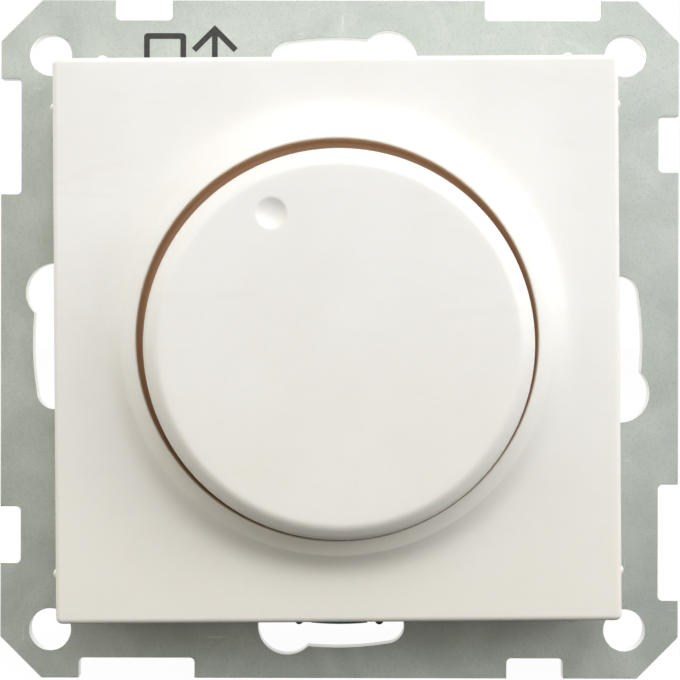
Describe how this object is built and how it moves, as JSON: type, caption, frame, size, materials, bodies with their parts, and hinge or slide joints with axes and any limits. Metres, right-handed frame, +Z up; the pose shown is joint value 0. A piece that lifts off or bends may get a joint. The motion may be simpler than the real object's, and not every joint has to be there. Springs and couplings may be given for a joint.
{
  "type": "rotary dimmer insert",
  "caption": "Square support frame with keyhole slots, square centre plate with a raised round collar, and a large push-and-turn knob with a pointer dimple, on a boxed insert.",
  "frame": {"origin": "on the knob axis, in the wall plane, which is the back face of the support frame", "axes": "front faces -Y, +Z up on the wall, +X to the right seen from the front"},
  "size_m": [0.0708, 0.0457, 0.0708],
  "materials": {
    "zinc_plate": "dull passivated zinc plating, fine grain, light scratches",
    "white_plastic": "warm white moulded thermoplastic, satin gloss",
    "ivory_plastic": "ivory moulded thermoplastic",
    "dark_plastic": "dark grey glass-filled polyamide",
    "teal_plastic": "teal moulded polyamide",
    "grey_plastic": "light grey glass-filled polyamide, fine spark texture",
    "red_plastic": "red acetal",
    "board_green": "green solder mask over glass-epoxy",
    "black_epoxy": "moulded epoxy",
    "phenolic": "paper phenolic",
    "carbon": "printed carbon film",
    "yellow_plastic": "yellow capacitor case",
    "brick_epoxy": "dipped epoxy",
    "beige_ceramic": "lacquered resistor body",
    "orange_glass": "tinted glass body",
    "clear_glass": "clear fuse glass",
    "brass": "plain brass",
    "bronze": "phosphor bronze strip",
    "tinned_brass": "tinned brass",
    "nickel_brass": "nickel-plated brass",
    "copper": "copper strip with silvered contacts",
    "enamelled_copper": "enamelled copper wire",
    "nickel_steel": "nickel-plated steel",
    "white_shaft_steel": "turned steel",
    "spring_steel": "hard-drawn spring steel",
    "aluminium": "extruded aluminium",
    "yellow_core": "iron powder core with a yellow coat"
  },
  "bodies": {
    "root": {"support_frame": "zinc_plate", "cover_plate": "white_plastic", "threaded_bush": "brass", "cover_nut": "ivory_plastic", "bush_nut": "nickel_steel", "lock_washer": "nickel_steel", "inner_cover": "dark_plastic", "pot_case": "nickel_steel", "track_wafer": "phenolic", "resistance_track": "carbon", "pot_terminals": "tinned_brass", "push_switch_case": "ivory_plastic", "fixed_contacts": "copper", "return_spring": "spring_steel", "circuit_board": "board_green", "triac": "black_epoxy", "triac_screw": "nickel_steel", "heat_sink": "aluminium", "choke_core": "yellow_core", "choke_winding": "enamelled_copper", "choke_base": "dark_plastic", "film_capacitor": "yellow_plastic", "timing_capacitor": "brick_epoxy", "resistors": "beige_ceramic", "diac": "orange_glass", "fuse_carrier": "teal_plastic", "fuse_tube": "clear_glass", "fuse_caps": "nickel_brass", "fuse_clips": "bronze", "terminal_cages": "brass", "terminal_screws": "nickel_steel", "rear_housing": "grey_plastic", "housing_screws": "nickel_steel"},
    "rotor": {"pot_rotor": "dark_plastic", "wiper_contact": "bronze"},
    "knob": {"rotary_knob": "white_plastic", "knob_clip": "spring_steel", "control_shaft": "white_shaft_steel"},
    "plunger": {"switch_plunger": "red_plastic", "moving_contact": "copper"}
  },
  "joints": [
    {"name": "knob_turn", "type": "hinge", "parent": "root", "child": "rotor", "pos_m": [0, 0, 0], "axis": [0, 1, 0], "range_deg": [-122.5, 177.5]},
    {"name": "knob_press", "type": "slide", "parent": "rotor", "child": "knob", "axis": [0, 1, 0], "range_m": [0, 0.0015], "stiffness_N_per_m": 1300, "springref_m": -0.0015},
    {"name": "switch_travel", "type": "slide", "parent": "root", "child": "plunger", "axis": [0, 1, 0], "range_m": [0, 0.0015], "deforming": ["return_spring"]}
  ],
  "couplings": [
    {"joint": "switch_travel", "follows": "knob_press", "ratio": 1}
  ]
}
